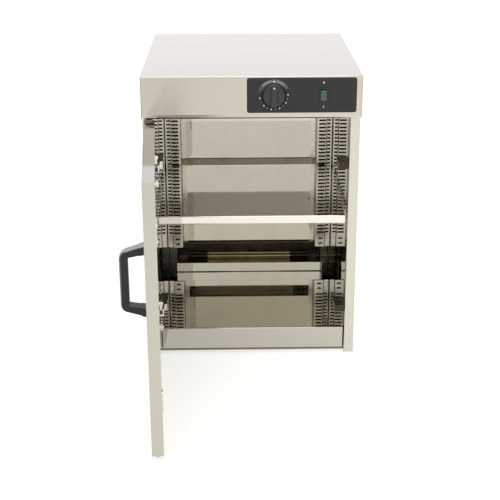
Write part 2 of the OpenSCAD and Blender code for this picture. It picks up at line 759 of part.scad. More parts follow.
// A bow whose legs taper towards the grip, softened by its outline seen from above.
module handle() color([0.16, 0.16, 0.16]) on_door() difference() {
    intersection() {
        translate([0, door_out, handle_z]) along_x([handle_x - grip_w, handle_x + grip_w]) handle_side();
        translate([handle_x, door_out, handle_z - handle_h]) linear_extrude(2 * handle_h) handle_plan();
    }
    for (side = [-1, 1])
        rod_y(handle_x, [door_out - handle_screw_l - 2, door_out + 1], handle_z + side * handle_screw_z,
            handle_screw_r);
}
module handle_side() difference() {
    lean = atan(leg_slope);
    run = handle_corner * tan((90 - lean) / 2);
    meet = [-handle_out + run * cos(lean), grip_h / 2 + run * sin(lean)];
    straight = grip_h / 2 - run;
    union() {
        polygon([
            [0, handle_h / 2], meet, [-handle_out, straight],
            [-handle_out, -straight], [meet[0], -meet[1]], [0, -handle_h / 2]
        ]);
        for (side = [-1, 1]) translate([handle_corner - handle_out, side * straight]) circle(handle_corner);
    }
    deep = handle_out - grip_t;
    mouth = handle_gap_h / 2 + gap_slope;
    polygon([
        [1, mouth], [-deep, grip_gap_h / 2], [-deep, -grip_gap_h / 2], [1, -mouth]
    ]);
}
module handle_plan() {
    edge = 4;
    translate([0, -handle_out / 2]) rounded([grip_w, handle_out], edge);
    translate([-grip_w / 2 - 2, -8]) square([grip_w + 4, 8]);
}

module door_foot() color([0.8, 0.8, 0.78]) on_door()
    translate([door_x1 - 10, door_out + door_t / 2, 1])
        rotate_extrude() polygon([
            [0, 0], [door_foot_d / 2 - 0.8, 0], [door_foot_d / 2, 0.8],
            [door_foot_d / 2, door_low - 1], [0, door_low - 1]
        ]);

// Hinges --------------------------------------------------------------

cup_screw_dz = cup_flange_h / 2 - 6;
cup_screw_r = 1.8;
module cup_screw_holes() for (z = hinge_heights, side = [-1, 1])
    rod_y(cup_x, [door_in - 14, door_in + 1], z + side * cup_screw_dz, cup_screw_r + 0.05);

module hinge_cups() color([0.8, 0.8, 0.78]) on_door() difference() {
    union() {
        cup_pocket_solid();
        for (z = hinge_heights) translate([cup_x, 0, z]) along_y([door_in, door_in + cup_flange_t])
            rounded([14, cup_flange_h], 4);
    }
    for (z = hinge_heights) {
        rod_y(cup_x, [door_in - cup_depth + 1, door_in + 3], z, cup_d / 2 - cup_wall);
        block([nose_x + nose_wall, cup_x], [door_in - cup_depth + 1, door_in + 3],
            [z - nose_half + nose_wall, z + nose_half - nose_wall]);
        rod_z(pin_x, pin_y, [z - nose_half - 1, z + nose_half + 1], pin_d / 2 + 0.01);
        for (side = [-1, 1])
            rod_y(cup_x, [door_in - 1, door_in + 3], z + side * cup_screw_dz, cup_screw_r + 0.1);
    }
}
module cup_pocket_solid() for (z = hinge_heights) {
    rod_y(cup_x, [door_in - cup_depth, door_in], z, cup_d / 2);
    block([nose_x, cup_x], [door_in - cup_depth, door_in], [z - nose_half, z + nose_half]);
}

module cup_screws() color([0.75, 0.75, 0.73]) on_door() for (z = hinge_heights, side = [-1, 1])
    translate([cup_x, door_in + cup_flange_t, z + side * cup_screw_dz])
        rotate([0, 0, 180]) screw(cup_screw_r, 14, 3.4, 1.6);

module hinge_pins() color([0.5, 0.5, 0.5]) on_door() for (z = hinge_heights)
    rod_z(pin_x, pin_y, [z - nose_half, z + nose_half], pin_d / 2);

plate_half = 25;
plate_screw_dz = 16;
plate_screw_y = (plate_y0 + plate_y1) / 2 + 6;
plate_screw_r = 2;
module hinge_plates() color([0.8, 0.8, 0.78]) in_frame() difference() {
    for (z = hinge_heights) {
        translate([0, (plate_y0 + plate_y1) / 2, z]) along_x([-liner_x, -liner_x + plate_t])
            rounded([plate_y1 - plate_y0, 2 * plate_half], 6);
        translate([0, (plate_y0 + plate_y1) / 2, z]) along_x([-liner_x + plate_t, -liner_x + 6])
            rounded([plate_y1 - plate_y0 - 8, arm_h - 3], 2);
    }
    plate_screw_holes([-liner_x - 1, -liner_x + 3]);
}
module plate_screw_holes(x) for (z = hinge_heights, side = [-1, 1])
    rod_x(x, plate_screw_y, z + side * plate_screw_dz, plate_screw_r + 0.05);

module plate_screws() color([0.85, 0.85, 0.82]) in_frame() for (z = hinge_heights, side = [-1, 1])
    translate([-liner_x + plate_t, plate_screw_y, z + side * plate_screw_dz])
        rotate([0, 0, 90]) screw(plate_screw_r, plate_t + 3, 4, 2);

// The arm caps the plate's rib and cranks round the jamb to the pin inside the door.
arm_out = 16;
arm_top = -liner_x + arm_out;
arm_y1 = plate_y0 + arm_d - 12;
module hinge_arms() color([0.82, 0.82, 0.8]) in_frame() for (z = hinge_heights) difference() {
    union() {
        along_z([z - arm_h / 2, z + arm_h / 2]) {
            translate([pin_x, pin_y]) circle(eye_d / 2);
            translate([pin_x, pin_y - neck_t / 2]) square([neck_reach + neck_t - 2, neck_t]);
            translate([neck_x, pin_y - neck_t / 2 + 2]) square([neck_t, plate_y0 - pin_y]);
            translate([neck_x + neck_t - 2, pin_y - neck_t / 2 + 2]) circle(2);
            translate([-liner_x + plate_t, plate_y0 - 2]) square([arm_top + liner_x - plate_t, arm_y1 - plate_y0]);
        }
    }
    block([-liner_x + plate_t - 1, -liner_x + 6.1], [plate_y0 + 3.9, plate_y1 - 3.9],
        [z - arm_h / 2 + 1.4, z + arm_h / 2 - 1.4]);
    rod_z(pin_x, pin_y, [z - arm_h, z + arm_h], pin_d / 2 + pin_clearance);
}

// Catches -------------------------------------------------------------

catch_x1 = liner_x;
catch_x0 = catch_x1 - catch_w;
module magnet_catches() color([0.25, 0.25, 0.25]) in_frame() difference() {
    for (z = hinge_heights) {
        block([catch_x0, catch_x1], [catch_y, catch_y + catch_l], [z - catch_half, z + catch_half]);
        block([catch_x0, jamb_in - 0.6], [door_in + strike_t + 0.3, catch_y], [z - catch_half, z + catch_half]);
    }
    catch_screw_holes([catch_x0 + 12, catch_x1 + 1]);
    for (z = hinge_heights, y = catch_screw_y) rod_x([catch_x0 - 1, catch_x0 + 12], y, z, 3.4);
}
catch_screw_y = [catch_y + 6, catch_y + catch_l - 6];
module catch_screw_holes(x) for (z = hinge_heights, y = catch_screw_y) rod_x(x, y, z, 1.55);
module catch_screws() color([0.85, 0.85, 0.82]) in_frame() for (z = hinge_heights, y = catch_screw_y)
    translate([catch_x0 + 12, y, z]) rotate([0, 0, -90]) screw(1.5, catch_w - 12 + sheet, 3, 1.8);

strike_x = catch_x0 + (catch_w - 1.6) / 2;
strike_screw_dz = 13;
module strike_screw_holes() for (z = hinge_heights, side = [-1, 1])
    rod_y(strike_x, [door_in - 10, door_in + 1], z + side * strike_screw_dz, 1.35);
module strike_plates() color([0.8, 0.8, 0.78]) on_door() difference() {
    for (z = hinge_heights) translate([strike_x, 0, z]) along_y([door_in, door_in + strike_t])
        rounded([15, 38], 3);
    for (z = hinge_heights, side = [-1, 1])
        rod_y(strike_x, [door_in - 1, door_in + 2], z + side * strike_screw_dz, 1.35);
}
module strike_screws() color([0.85, 0.85, 0.82]) on_door() for (z = hinge_heights, side = [-1, 1])
    translate([strike_x, door_in + strike_t, z + side * strike_screw_dz]) rotate([0, 0, 180]) screw(1.3, 10, 2.6, 0.9);

// Controls ------------------------------------------------------------

thermostat_screw_x = 14;
module control_fascia() color([0.25, 0.24, 0.24]) in_frame()
    along_y([fascia_y - fascia_t, fascia_y]) difference() {
        translate([(fascia_x0 + fascia_x1) / 2, fascia_z]) rounded([fascia_w, fascia_h], 4.5);
        translate([knob_cx, knob_cz]) circle(spindle_d / 2 + 2);
        for (side = [-1, 1]) translate([knob_cx + side * thermostat_screw_x, knob_cz]) circle(3.2);
        translate([switch_cx, switch_cz]) square([switch_body_w, switch_body_h], center = true);
    }

body_half = 21;
body_half_h = 17;
body_depth = 34;
module thermostat_body() color([0.85, 0.84, 0.8]) in_frame() difference() {
    union() {
        block([knob_cx - body_half, knob_cx + body_half], [panel_in, panel_in + body_depth],
            [knob_cz - body_half_h, knob_cz + body_half_h]);
        for (x = [-12, 12], z = [-9, 9])
            block([knob_cx + x - 3.2, knob_cx + x + 3.2], [panel_in + body_depth, panel_in + body_depth + 8],
                [knob_cz + z - 0.4, knob_cz + z + 0.4]);
    }
    rod_y(knob_cx, [panel_in - 1, panel_in + 12], knob_cz, spindle_d / 2 + 0.05);
    for (side = [-1, 1])
        rod_y(knob_cx + side * thermostat_screw_x, [panel_in - 1, panel_in + 8], knob_cz, 1.5);
    rod_y(knob_cx, [panel_in + body_depth - 4, panel_in + body_depth + 1], knob_cz, tube_r + 0.05);
}
module thermostat_screws() color([0.75, 0.75, 0.73]) in_frame() for (side = [-1, 1])
    translate([knob_cx + side * thermostat_screw_x, fascia_y, knob_cz]) screw(1.5, 7, 2.8, 1.3);

// The spindle has a flat on its front end, and the knob's bore has the same flat.
flat_depth = 1.2;
module spindle_bar(r, y, flat_y) difference() {
    rod_y(knob_cx, y, knob_cz, r);
    block([knob_cx - r - 1, knob_cx + r + 1], [y[0] - 1, flat_y], [knob_cz + r - flat_depth, knob_cz + r + 1]);
}
module thermostat_spindle() color([0.75, 0.75, 0.73]) in_frame()
    spindle_bar(spindle_d / 2, [spindle_tip, panel_in + 11], knob_base);

grip_bar = 9.6;
module knob() color([0.2, 0.2, 0.2]) in_frame() difference() {
    union() {
        translate([knob_cx, knob_base, knob_cz]) rotate([90, 0, 0]) rotate_extrude() polygon([
            [0, 0], [knob_d / 2, 0], [knob_d / 2, 2.4], [knob_d / 2 - 1.6, 4.2],
            [knob_d / 2 - 2.6, 7], [0, 7]
        ]);
        intersection() {
            translate([knob_cx, knob_base, knob_cz]) rotate([90, 0, 0])
                cylinder(h = knob_h - 0.6, r1 = knob_d / 2 - 1.5, r2 = knob_d / 2 - 3.5);
            block([knob_cx - grip_bar / 2, knob_cx + grip_bar / 2], [knob_base - knob_h, knob_base],
                [knob_cz - knob_d, knob_cz + knob_d]);
        }
    }
    spindle_bar(spindle_d / 2 + 0.02, [spindle_tip - 0.02, fascia_y], big);
}

module switch_housing() color([0.1, 0.1, 0.1]) in_frame() difference() {
    front = fascia_y - fascia_t;
    union() {
        translate([switch_cx, 0, switch_cz]) along_y([front - 1.6, front]) rounded([switch_w, switch_h], 1.5);
        block([switch_cx - switch_body_w / 2 + 0.1, switch_cx + switch_body_w / 2 - 0.1], [front, panel_in + 16],
            [switch_cz - switch_body_h / 2 + 0.1, switch_cz + switch_body_h / 2 - 0.1]);
        for (z = [-6, 0, 6]) block([switch_cx - 2.4, switch_cx + 2.4], [panel_in + 16, panel_in + 24],
            [switch_cz + z - 0.4, switch_cz + z + 0.4]);
    }
    block([switch_cx - rocker_half - 0.3, switch_cx + rocker_half + 0.3], [front - 2, rocker_y + 6],
        [switch_cz - rocker_room, switch_cz + rocker_room]);
    rod_x([switch_cx - 6, switch_cx + 6], rocker_y, switch_cz, 1);
}

// The rocker's side view about its pin: two faces that meet in a shallow valley.
valley = 3.6;
crest = 5.6;
function face_point(t) = [-valley - (crest - valley) * t, rocker_h * t];
module rocker_side() polygon([
    [-valley, 0], [-crest, rocker_h], [2, rocker_h - 1], [2, 1 - rocker_h], [-crest, -rocker_h]
]);
module lens_side() polygon([
    face_point(0.08), face_point(0.92), face_point(0.92) + [1, 0], face_point(0.08) + [1, 0]
]);
module on_rocker() in_frame() translate([switch_cx, rocker_y, switch_cz]) rotate([rocker_tilt, 0, 0]) children();
module rocker() color([0.2, 0.2, 0.2]) on_rocker() difference() {
    along_x([-rocker_half, rocker_half]) rocker_side();
    along_x([-lens_half, lens_half]) lens_side();
    rod_x([-6, 6], 0, 0, 1.05);
}
lens_half = 3.6;
module rocker_lens() color([0.1, 0.6, 0.35]) on_rocker() along_x([-lens_half, lens_half]) lens_side();
module rocker_pin() color([0.6, 0.6, 0.6]) in_frame()
    rod_x([switch_cx - 5.9, switch_cx + 5.9], rocker_y, switch_cz, 1);

// Sensing and wiring --------------------------------------------------

bulb_r = 3.2;
tube_r = 0.8;
bulb_y = rear_y + sheet + bulb_r;
tube_bend = 10;
bulb_z = [ceiling_z - 90, ceiling_z - 15];
module thermostat_bulb() color([0.75, 0.55, 0.35]) in_frame() {
    rod_z(knob_cx, bulb_y, bulb_z, bulb_r);
    rod_z(knob_cx, bulb_y, [bulb_z[1], knob_cz - tube_bend], tube_r);
    translate([knob_cx, bulb_y - tube_bend, knob_cz - tube_bend]) rotate([90, 0, 90])
        rotate_extrude(angle = 90) translate([tube_bend, 0]) circle(tube_r);
    rod_y(knob_cx, [panel_in + body_depth - 3, bulb_y - tube_bend], knob_cz, tube_r);
}
module bulb_clips() color([0.7, 0.7, 0.68]) in_frame() for (z = [bulb_z[0] + 15, bulb_z[1] - 15]) difference() {
    block([knob_cx - bulb_r - 5, knob_cx + bulb_r + 1.2], [rear_y + sheet, rear_y + sheet + 2 * bulb_r + 1.2],
        [z - 3, z + 3]);
    block([knob_cx - bulb_r - 6, knob_cx - bulb_r - 1.2], [rear_y + 2 * sheet, rear_y + 20], [z - 4, z + 4]);
    rod_z(knob_cx, bulb_y, [z - 4, z + 4], bulb_r + 0.02);
    block([knob_cx - bulb_r - 0.02, knob_cx + bulb_r + 0.02], [rear_y, bulb_y], [z - 4, z + 4]);
}

cutout_x = -60;
cutout_z = recess_top + 30;
module safety_cutout() color([0.8, 0.78, 0.7]) in_frame() {
    rod_y(cutout_x, [rear_y + sheet, rear_y + sheet + 9], cutout_z, 8);
    block([cutout_x - 12, cutout_x + 12], [rear_y + sheet, rear_y + sheet + 0.8], [cutout_z - 4, cutout_z + 4]);
    for (x = [-5, 5]) block([cutout_x + x - 2.4, cutout_x + x + 2.4], [rear_y + 9, rear_y + sheet + 15],
        [cutout_z - 0.4, cutout_z + 0.4]);
}

terminal_x = gland_x - 60;
module terminal_block() color([0.92, 0.9, 0.84]) in_frame() difference() {
    block([terminal_x - 22, terminal_x + 22], [rear_y + sheet, rear_y + sheet + 16], [gland_z - 11, gland_z + 11]);
    for (x = [-14, 0, 14]) {
        rod_z(terminal_x + x, rear_y + sheet + 7, [gland_z - 12, gland_z + 12], 2.4);
        rod_y(terminal_x + x, [rear_y + sheet + 7, rear_y + 20], gland_z - 5, 1.8);
        rod_y(terminal_x + x, [rear_y + sheet + 7, rear_y + 20], gland_z + 5, 1.8);
    }
}

// One sleeved loom from the terminal block up the rear wall and forward over the ceiling.
loom_r = 3;
loom_x = terminal_x + 14;
loom_y = rear_y + sheet + 7;
loom_z = ceiling_z + sheet + loom_r + 6;
loom_bend = 12;
loom_end = panel_in + 30;
module wiring_loom() color([0.3, 0.3, 0.32]) in_frame() {
    rod_z(loom_x, loom_y, [gland_z + 11, loom_z - loom_bend], loom_r);
    translate([loom_x, loom_y - loom_bend, loom_z - loom_bend]) rotate([90, 0, 90])
        rotate_extrude(angle = 90) translate([loom_bend, 0]) circle(loom_r);
    rod_y(loom_x, [loom_end, loom_y - loom_bend], loom_z, loom_r);
    for (y = [80, rear_y / 2 + 30, rear_y - 33]) block([loom_x - 5, loom_x + 5], [y - 2, y + 2], [header_low, loom_z]);
}

hood();
side_panel_left();
side_panel_right();
back_cover();
base_pan();
liner_left();
liner_right();
liner_top();
floor_pan();
rear_wall();
column_left();
column_right();
heater_guard();
heater_tray();
reflector_plate();
heating_element();
element_saddles();
element_terminals();
shelf();
shelf_bracket_left();
shelf_bracket_right();
hinge_plates();
hinge_arms();
hinge_cups();
hinge_pins();
plate_screws();
cup_screws();
magnet_catches();
catch_screws();
strike_plates();
strike_screws();
door_outer_skin();
door_inner_skin();
door_core();
handle();
handle_screws();
door_foot();
feet();
cable_gland();
gland_nut();
terminal_block();
control_fascia();
thermostat_body();
thermostat_screws();
thermostat_spindle();
thermostat_bulb();
bulb_clips();
safety_cutout();
knob();
switch_housing();
rocker();
rocker_lens();
rocker_pin();
back_screws();
ceiling_screws();
wiring_loom();
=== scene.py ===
"""Looks of the plate warmer cabinet: finishes, softened edges, printed marks, studio and camera."""

import math

import bmesh
import bpy
from mathutils import Matrix, Vector


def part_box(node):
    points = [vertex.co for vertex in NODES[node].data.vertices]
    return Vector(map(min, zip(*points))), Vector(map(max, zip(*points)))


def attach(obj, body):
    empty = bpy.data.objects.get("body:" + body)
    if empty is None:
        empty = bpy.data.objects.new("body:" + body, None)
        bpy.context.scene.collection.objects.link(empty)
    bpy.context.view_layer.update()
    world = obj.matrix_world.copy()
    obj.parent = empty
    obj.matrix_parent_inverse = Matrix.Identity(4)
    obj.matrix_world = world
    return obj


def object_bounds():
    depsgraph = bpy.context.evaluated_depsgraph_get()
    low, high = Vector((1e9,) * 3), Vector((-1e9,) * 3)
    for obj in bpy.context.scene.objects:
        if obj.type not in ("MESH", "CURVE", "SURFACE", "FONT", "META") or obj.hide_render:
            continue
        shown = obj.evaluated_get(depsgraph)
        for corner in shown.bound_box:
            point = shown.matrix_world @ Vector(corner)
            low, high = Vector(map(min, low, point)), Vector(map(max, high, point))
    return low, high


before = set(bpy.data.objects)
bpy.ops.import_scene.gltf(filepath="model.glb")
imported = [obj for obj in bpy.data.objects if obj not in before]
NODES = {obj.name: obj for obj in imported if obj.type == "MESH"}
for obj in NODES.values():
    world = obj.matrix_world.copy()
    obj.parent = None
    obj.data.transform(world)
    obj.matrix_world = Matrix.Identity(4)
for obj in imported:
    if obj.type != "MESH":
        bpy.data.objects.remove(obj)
CAD_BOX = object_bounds()
MM = 0.001


# Small node-tree helpers -------------------------------------------------

# A face takes on a side's colour as it comes to look that way: the cosines of the angle where the
# colour starts and where it is full.
SIDE_START, SIDE_FULL = 0.3, 0.85


class Tree:
    """A material's or world's node tree with short calls to add and link nodes."""

    def __init__(self, tree):
        self.tree = tree
        tree.nodes.clear()

    def node(self, kind, inputs=None, **settings):
        """A new node. Its settings come first, because some of them change its inputs."""
        made = self.tree.nodes.new(kind)
        for key, value in settings.items():
            setattr(made, key, value)
        for key, value in (inputs or {}).items():
            if isinstance(value, bpy.types.NodeSocket):
                self.tree.links.new(value, made.inputs[key])
            else:
                made.inputs[key].default_value = value
        return made

    def math(self, operation, a, b=0.0):
        return self.node("ShaderNodeMath", {0: a, 1: b}, operation=operation).outputs[0]

    def fit(self, value, low, high, to_low, to_high):
        """The value, taken from the range low to high to another range and held within it."""
        inputs = {0: value, 1: low, 2: high, 3: to_low, 4: to_high}
        return self.node("ShaderNodeMapRange", inputs).outputs[0]

    def place(self, scale):
        """Object coordinates stretched by scale: the object sits at the frame's origin."""
        coordinates = self.node("ShaderNodeTexCoord")
        made = self.node("ShaderNodeMapping", {"Vector": coordinates.outputs["Object"]})
        made.inputs["Scale"].default_value = scale
        return made.outputs[0]

    def spot(self):
        """The X, Y and Z of the point being shaded, in the piece's own metres."""
        return self.node("ShaderNodeSeparateXYZ", {0: self.place((1.0, 1.0, 1.0))}).outputs

    def facing(self):
        """The X, Y and Z of the surface's outward direction, in the piece's own frame."""
        coordinates = self.node("ShaderNodeTexCoord")
        return self.node("ShaderNodeSeparateXYZ", {0: coordinates.outputs["Normal"]}).outputs

    def turned(self, colour, sides):
        """The colour, giving way to another on each side listed as (axis, sign, colour)."""
        for axis, sign, other in sides:
            start, full = SIDE_START * sign, SIDE_FULL * sign
            amount = self.fit(self.facing()[axis], start, full, 0.0, 1.0)
            colour = self.mix(amount, colour, other)
        return colour

    def noise(self, scale, size=1.0, detail=3.0, rough=0.55):
        made = self.node(
            "ShaderNodeTexNoise",
            {"Vector": self.place(scale), "Scale": size, "Detail": detail, "Roughness": rough},
        )
        return made.outputs["Fac"]

    def mix(self, factor, a, b):
        """A mix of two colours: the node's inputs 0, 6 and 7, and its output 2."""
        return self.node("ShaderNodeMix", {0: factor, 6: a, 7: b}, data_type="RGBA").outputs[2]

    def bump(self, height, strength, distance):
        inputs = {"Height": height, "Strength": strength, "Distance": distance}
        return self.node("ShaderNodeBump", inputs).outputs[0]


def material(name):
    made = bpy.data.materials.new(name)
    made.use_nodes = True
    return made, Tree(made.node_tree)


def surface(tree, inputs):
    """Ends the tree with a Principled shader, with the inputs given, and an output."""
    shader = tree.node("ShaderNodeBsdfPrincipled", inputs)
    out = tree.node("ShaderNodeOutputMaterial")
    tree.tree.links.new(shader.outputs[0], out.inputs[0])


def rgb(r, g, b):
    return (r, g, b, 1.0)


def scaled(colour, k):
    return rgb(*(min(1.0, c * k) for c in colour[:3]))


# Finishes ----------------------------------------------------------------

# Places on the liner, in metres: the sheet behind a slotted column and the heater's recess get
# painted shade, dark and rough, and the element's tinted middle ends where the reflector does.
COLUMN_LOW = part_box("column_right")[0]
DUCT_X = COLUMN_LOW.x + 10.9 * MM
DUCT_Y = COLUMN_LOW.y + 4.2 * MM
DUCT_Z = COLUMN_LOW.z
RECESS_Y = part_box("rear_wall")[0].y + 2.5 * MM
RECESS_SHADE = 0.6
SHADE_SHEET = rgb(0.06, 0.055, 0.045)
SHADE_ROUGH = 0.5
LIT_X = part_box("reflector_plate")[1].x
LIT_EDGE = 2 * MM

# Brushed grain: streaks to a metre across and along it, and the broader bands as shares of those.
STREAKS_ACROSS = 2600.0
STREAKS_ALONG = 14.0
BANDS_ACROSS = 0.12
BANDS_ALONG = 0.35

# The way the upper leg of the handle faces on top, as its shares up and to -X in the frame at
# rest, and the weaker coat on other sides. The coat is a painted sheen, strongest on that top
# facet.
LEG_UP, LEG_LEFT = 0.94, 0.34
LOW_SHEEN = 0.14

# Heights over the knob's middle between which the faded print goes from one colour to the other.
FADE_START, FADE_END = 4 * MM, 24 * MM

# Sides of a piece as (axis, sign).
FRONT, TOP, UNDER, LEFT, RIGHT = (1, -1), (2, 1), (2, -1), (0, -1), (0, 1)


def brushed(name, colour, grain, rough, contrast=0.06, bump=0.25, smudge=0.05, sides=()):
    """Brushed stainless sheet: streaks along the axis grain (0 X, 1 Y, 2 Z) and faint smears.

    The sheet takes on another colour on the sides listed as (axis, sign, colour).
    """
    made, t = material(name)
    fine = [STREAKS_ACROSS] * 3
    fine[grain] = STREAKS_ALONG
    broad = [STREAKS_ACROSS * BANDS_ACROSS] * 3
    broad[grain] = STREAKS_ALONG * BANDS_ALONG
    streaks = t.noise(fine, detail=2.0)
    bands = t.noise(broad, detail=3.0)
    smears = t.noise((9.0, 9.0, 9.0), detail=5.0, rough=0.6)
    prints = t.noise((60.0, 60.0, 60.0), detail=4.0, rough=0.65)
    tone = t.math("ADD", t.math("MULTIPLY", streaks, 0.6), t.math("MULTIPLY", bands, 0.4))
    dark, bright = (
        t.turned(scaled(colour, k), [(axis, sign, scaled(other, k)) for axis, sign, other in sides])
        for k in (1 - contrast, 1 + contrast)
    )
    touched = t.math(
        "MULTIPLY", t.fit(smears, 0.45, 0.7, 0.0, 1.0), t.fit(prints, 0.4, 0.65, 0.0, 1.0)
    )
    grained = t.fit(tone, 0.25, 0.75, rough * 0.86, rough * 1.12)
    surface(t, {
        "Base Color": t.mix(tone, dark, bright),
        "Metallic": 1.0,
        "Roughness": t.math("ADD", grained, t.math("MULTIPLY", touched, smudge)),
        "Normal": t.bump(streaks, bump, 0.03 * MM),
    })
    return made


def painted_shade_mask(t):
    """Painted shade: 1 on the sheet behind the slotted columns, and less round the heater."""
    x, y, z = t.spot()[:3]
    side = t.math("GREATER_THAN", t.math("ABSOLUTE", x), DUCT_X)
    back = t.math("GREATER_THAN", y, DUCT_Y)
    above = t.math("GREATER_THAN", z, DUCT_Z)
    ducts = t.math("MULTIPLY", t.math("MULTIPLY", side, back), above)
    recess = t.math("MULTIPLY", t.math("GREATER_THAN", y, RECESS_Y), RECESS_SHADE)
    return t.math("MAXIMUM", ducts, recess)


def polished(name, colour, rough, smudge=0.03, ripple=0.05, sides=()):
    """Bright-annealed stainless: almost a mirror, slightly wavy, with smears and fine scratches,
    and painted shade behind the slotted columns and in the heater's recess.

    The sheet takes on another colour on the sides listed as (axis, sign, colour).
    """
    made, t = material(name)
    waves = t.noise((7.0, 7.0, 5.0), detail=1.0)
    wipes = t.noise((22.0, 14.0, 5.0), detail=5.0, rough=0.6)
    scratches = t.noise((900.0, 900.0, 70.0), detail=2.0)
    patches = t.fit(wipes, 0.48, 0.75, 0.0, 1.0)
    in_shade = painted_shade_mask(t)
    scratched = t.fit(scratches, 0.3, 0.7, rough * 0.6, rough * 1.4)
    smeared = t.math("ADD", scratched, t.math("MULTIPLY", patches, smudge))
    bright = t.turned(t.mix(patches, colour, scaled(colour, 0.95)), sides)
    surface(t, {
        "Base Color": t.mix(in_shade, bright, SHADE_SHEET),
        "Metallic": 1.0,
        "Roughness": t.math("MAXIMUM", smeared, t.math("MULTIPLY", in_shade, SHADE_ROUGH)),
        "Normal": t.bump(waves, ripple, 0.4 * MM),
    })
    return made


def plated(name, colour, rough, sides=()):
    """Plated or bare metal fittings: smooth, with a slight cast grain and darker worn spots."""
    made, t = material(name)
    grain = t.noise((500.0, 500.0, 500.0), detail=4.0)
    wear = t.noise((120.0, 120.0, 120.0), detail=3.0)
    worn = t.mix(t.fit(wear, 0.5, 0.75, 0.0, 0.6), colour, scaled(colour, 0.72))
    surface(t, {
        "Base Color": t.turned(worn, sides),
        "Metallic": 1.0,
        "Roughness": t.fit(wear, 0.3, 0.7, rough * 0.7, rough * 1.4),
        "Normal": t.bump(grain, 0.12, 0.04 * MM),
    })
    return made


def moulded(name, colour, rough, grain_size=900.0, bump=0.3, spread=0.12, specular=0.5):
    """Moulded plastic, rubber or print: a fine spark-eroded grain and slightly uneven gloss."""
    made, t = material(name)
    grain = t.noise((grain_size, grain_size, grain_size), detail=3.0)
    patches = t.noise((40.0, 40.0, 40.0), detail=4.0)
    surface(t, {
        "Base Color": t.mix(patches, scaled(colour, 1 - spread), scaled(colour, 1 + spread)),
        "Roughness": t.fit(patches, 0.3, 0.7, rough * 0.85, rough * 1.15),
        "Specular IOR Level": specular,
        "Normal": t.bump(grain, bump, 0.06 * MM),
    })
    return made


def sheened(name, colour):
    """Black plastic with a painted sheen: a glossy coat, most of all on top and along the outer
    edge.
    """
    made, t = material(name)
    grain = t.noise((900.0, 900.0, 900.0), detail=3.0)
    rubs = t.noise((35.0, 35.0, 20.0), detail=4.0)
    x, _, z = t.facing()[:3]
    top = t.math("SUBTRACT", t.math("MULTIPLY", z, LEG_UP), t.math("MULTIPLY", x, LEG_LEFT))
    on_top = t.fit(top, 0.86, 0.97, LOW_SHEEN, 1.0)
    outer_edge = t.fit(x, -0.3, -0.65, LOW_SHEEN, 0.8)
    shine = t.math("MAXIMUM", on_top, outer_edge)
    surface(t, {
        "Base Color": t.mix(rubs, scaled(colour, 0.8), scaled(colour, 1.25)),
        "Roughness": t.fit(rubs, 0.3, 0.7, 0.24, 0.36),
        "Specular IOR Level": 0.15,
        "Coat Weight": t.math("MULTIPLY", shine, t.fit(rubs, 0.3, 0.7, 0.85, 1.0)),
        "Coat Roughness": 0.05,
        "Coat IOR": 2.0,
        "Normal": t.bump(grain, 0.1, 0.06 * MM),
    })
    return made


def heat_tinted(name, cold, hot, rough, ends=None):
    """Metal that has been hot: patches of one tint over another, and, where given, a painted-shade
    colour for the ends past the reflector's edge.
    """
    made, t = material(name)
    patches = t.noise((30.0, 18.0, 30.0), detail=5.0, rough=0.6)
    specks = t.noise((700.0, 700.0, 700.0), detail=3.0)
    colour_out = t.mix(t.fit(patches, 0.35, 0.65, 0.0, 1.0), cold, hot)
    if ends is not None:
        aside = t.math("ABSOLUTE", t.spot()[0])
        past_lit = t.fit(aside, LIT_X - LIT_EDGE, LIT_X + LIT_EDGE, 0.0, 1.0)
        colour_out = t.mix(past_lit, colour_out, ends)
    surface(t, {
        "Base Color": colour_out,
        "Metallic": 0.9,
        "Roughness": t.fit(specks, 0.3, 0.7, rough * 0.8, rough * 1.2),
        "Normal": t.bump(specks, 0.25, 0.06 * MM),
    })
    return made


def lens_finish(name):
    """Green translucent plastic, lit faintly from behind."""
    made, t = material(name)
    ribs = t.noise((300.0, 300.0, 1200.0), detail=2.0)
    glow = t.noise((150.0, 150.0, 150.0), detail=2.0)
    surface(t, {
        "Base Color": t.mix(glow, rgb(0.0, 0.07, 0.035), rgb(0.005, 0.15, 0.08)),
        "Roughness": 0.18,
        "Specular IOR Level": 0.3,
        "Emission Color": t.mix(glow, rgb(0.0, 0.2, 0.1), rgb(0.01, 0.4, 0.2)),
        "Emission Strength": 0.12,
        "Normal": t.bump(ribs, 0.3, 0.1 * MM),
    })
    return made


def faded_finish(name, low, high):
    """Print on the fascia with one colour at the knob's sides that fades to another above it."""
    made, t = material(name)
    low_end, high_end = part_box("knob")
    middle = (low_end.z + high_end.z) / 2
    speckle = t.noise((700.0, 700.0, 700.0), detail=2.0)
    height = t.fit(t.spot()[2], middle + FADE_START, middle + FADE_END, 0.0, 1.0)
    surface(t, {
        "Base Color": t.mix(height, low, high),
        "Roughness": t.fit(speckle, 0.3, 0.7, 0.4, 0.6),
        "Specular IOR Level": 0.25,
        "Normal": t.bump(speckle, 0.1, 0.05 * MM),
    })
    return made


